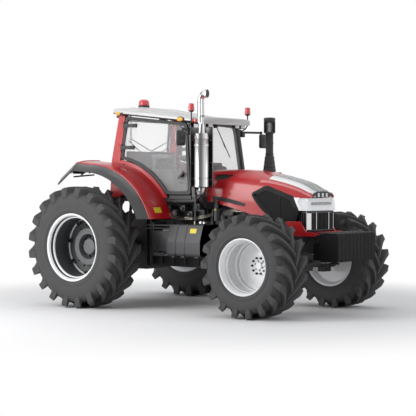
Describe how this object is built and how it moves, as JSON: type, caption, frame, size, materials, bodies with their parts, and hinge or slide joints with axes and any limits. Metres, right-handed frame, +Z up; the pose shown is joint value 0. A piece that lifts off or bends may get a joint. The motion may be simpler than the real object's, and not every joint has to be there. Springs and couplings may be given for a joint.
{
  "type": "farm tractor",
  "caption": "Four-wheel-drive farm tractor with closed cab, tilting hood, front weights, exhaust stack and rear three-point linkage.",
  "frame": {"origin": "on the ground, in the middle of the length and width", "axes": "+X forwards towards the front weights, +Y to the left, +Z up"},
  "size_m": [5.3152, 3.3, 3.2942],
  "materials": {
    "red_paint": "gloss",
    "roof_paint": "satin",
    "cast_iron": "matt paint",
    "black_paint": "satin",
    "black_plastic": "moulded",
    "tyre_rubber": "matt",
    "white_rim": "gloss",
    "dark_rim": "satin",
    "clear_glass": "clear",
    "lamp_glass": "clear",
    "chrome_steel": "polished",
    "seat_cloth": "woven"
  },
  "bodies": {
    "root": {"engine_block": "cast_iron", "transmission_housing": "cast_iron", "front_frame": "cast_iron", "front_axle_beam": "cast_iron", "steering_cylinder": "cast_iron", "front_weights": "black_paint", "front_bumper": "red_paint", "fuel_tank": "black_paint", "battery_box_steps": "black_paint", "cab_floor": "black_plastic", "cab_roof": "roof_paint", "cab_rear_panel": "black_plastic", "firewall": "black_plastic", "dashboard": "black_plastic", "steering_column": "black_plastic", "windscreen": "clear_glass", "seat_cushion": "seat_cloth", "seat_backrest": "seat_cloth", "exhaust": "chrome_steel", "air_intake": "black_plastic", "fender_left": "red_paint", "fender_right": "red_paint", "fender_strip_left": "black_plastic", "fender_strip_right": "black_plastic", "rear_pillar_left": "red_paint", "rear_pillar_right": "red_paint", "front_pillar_left": "black_paint", "front_pillar_right": "black_paint", "mirror_beacon_left": "black_plastic", "mirror_beacon_right": "black_plastic"},
    "rear_wheel_left": {"rear_tyre_left": "tyre_rubber", "rear_rim_left": "dark_rim"},
    "rear_wheel_right": {"rear_tyre_right": "tyre_rubber", "rear_rim_right": "dark_rim"},
    "front_wheel_left": {"front_tyre_left": "tyre_rubber", "front_rim_left": "white_rim"},
    "front_wheel_right": {"front_tyre_right": "tyre_rubber", "front_rim_right": "white_rim"},
    "knuckle_left": {"steering_knuckle_left": "cast_iron"},
    "knuckle_right": {"steering_knuckle_right": "cast_iron"},
    "steering_rod": {"steering_rod": "chrome_steel"},
    "door_left": {"door_frame_left": "black_plastic", "door_glass_left": "clear_glass"},
    "door_right": {"door_frame_right": "black_plastic", "door_glass_right": "clear_glass"},
    "rear_window": {"rear_window_frame": "black_plastic", "rear_window_glass": "clear_glass"},
    "hood": {"hood": "red_paint", "hood_grille_left": "black_plastic", "hood_grille_right": "black_plastic", "headlamps": "lamp_glass", "front_grille": "black_plastic"},
    "lower_link_left": {"lower_link_left": "cast_iron"},
    "lower_link_right": {"lower_link_right": "cast_iron"},
    "lift_arms": {"lift_arms": "cast_iron"},
    "lift_rod_left": {"lift_rod_left": "cast_iron"},
    "lift_rod_right": {"lift_rod_right": "cast_iron"}
  },
  "joints": [
    {"name": "rear_wheel_left_spin", "type": "hinge", "parent": "root", "child": "rear_wheel_left", "pos_m": [-1.39739, 1.35, 0.925], "axis": [0, 1, 0], "continuous": true},
    {"name": "steer_left", "type": "hinge", "parent": "root", "child": "knuckle_left", "pos_m": [1.64761, 0.77, 0.732], "axis": [0, 0, 1], "range_deg": [-26, 26]},
    {"name": "front_wheel_left_spin", "type": "hinge", "parent": "knuckle_left", "child": "front_wheel_left", "pos_m": [1.64761, 1.117, 0.732], "axis": [0, 1, 0], "continuous": true},
    {"name": "door_left_hinge", "type": "hinge", "parent": "root", "child": "door_left", "pos_m": [-1.1836, 0.73996, 2.425], "axis": [0.0828, -0.0759, 0.9937], "range_deg": [0, 75]},
    {"name": "rear_wheel_right_spin", "type": "hinge", "parent": "root", "child": "rear_wheel_right", "pos_m": [-1.39739, -1.35, 0.925], "axis": [0, 1, 0], "continuous": true},
    {"name": "steer_right", "type": "hinge", "parent": "root", "child": "knuckle_right", "pos_m": [1.64761, -0.77, 0.732], "axis": [0, 0, 1], "range_deg": [-26, 26]},
    {"name": "front_wheel_right_spin", "type": "hinge", "parent": "knuckle_right", "child": "front_wheel_right", "pos_m": [1.64761, -1.117, 0.732], "axis": [0, 1, 0], "continuous": true},
    {"name": "door_right_hinge", "type": "hinge", "parent": "root", "child": "door_right", "pos_m": [-1.1836, -0.73996, 2.425], "axis": [-0.0828, -0.0759, -0.9937], "range_deg": [0, 75]},
    {"name": "steering_rod_slide", "type": "slide", "parent": "root", "child": "steering_rod", "axis": [0, 1, 0], "range_m": [-0.1, 0.1]},
    {"name": "rear_window_hinge", "type": "hinge", "parent": "root", "child": "rear_window", "pos_m": [-1.27665, 0, 2.93502], "axis": [0, 1, 0], "range_deg": [0, 60]},
    {"name": "hood_hinge", "type": "hinge", "parent": "root", "child": "hood", "pos_m": [0.30861, 0, 2.03], "axis": [0, -1, 0], "range_deg": [0, 60]},
    {"name": "lift_arms_hinge", "type": "hinge", "parent": "root", "child": "lift_arms", "pos_m": [-1.72739, 0, 1.29], "axis": [0, 1, 0], "range_deg": [-8, 50]},
    {"name": "lower_link_left_hinge", "type": "hinge", "parent": "root", "child": "lower_link_left", "pos_m": [-1.72739, 0.265, 0.56], "axis": [0, 1, 0], "range_deg": [-8.5, 50.5]},
    {"name": "lift_rod_left_hinge", "type": "hinge", "parent": "lift_arms", "child": "lift_rod_left", "pos_m": [-2.14799, 0.396, 1.2006], "axis": [0, 1, 0], "range_deg": [-50.5, 8.5]},
    {"name": "lower_link_right_hinge", "type": "hinge", "parent": "root", "child": "lower_link_right", "pos_m": [-1.72739, -0.265, 0.56], "axis": [0, 1, 0], "range_deg": [-8.5, 50.5]},
    {"name": "lift_rod_right_hinge", "type": "hinge", "parent": "lift_arms", "child": "lift_rod_right", "pos_m": [-2.14799, -0.396, 1.2006], "axis": [0, 1, 0], "range_deg": [-50.5, 8.5]}
  ],
  "couplings": [
    {"joint": "steer_right", "follows": "steer_left", "ratio": 1},
    {"joint": "steering_rod_slide", "follows": "steer_left", "m_per_rad": 0.205},
    {"joint": "lower_link_left_hinge", "follows": "lift_arms_hinge", "ratio": 1},
    {"joint": "lift_rod_left_hinge", "follows": "lift_arms_hinge", "ratio": -1},
    {"joint": "lower_link_right_hinge", "follows": "lift_arms_hinge", "ratio": 1},
    {"joint": "lift_rod_right_hinge", "follows": "lift_arms_hinge", "ratio": -1}
  ]
}
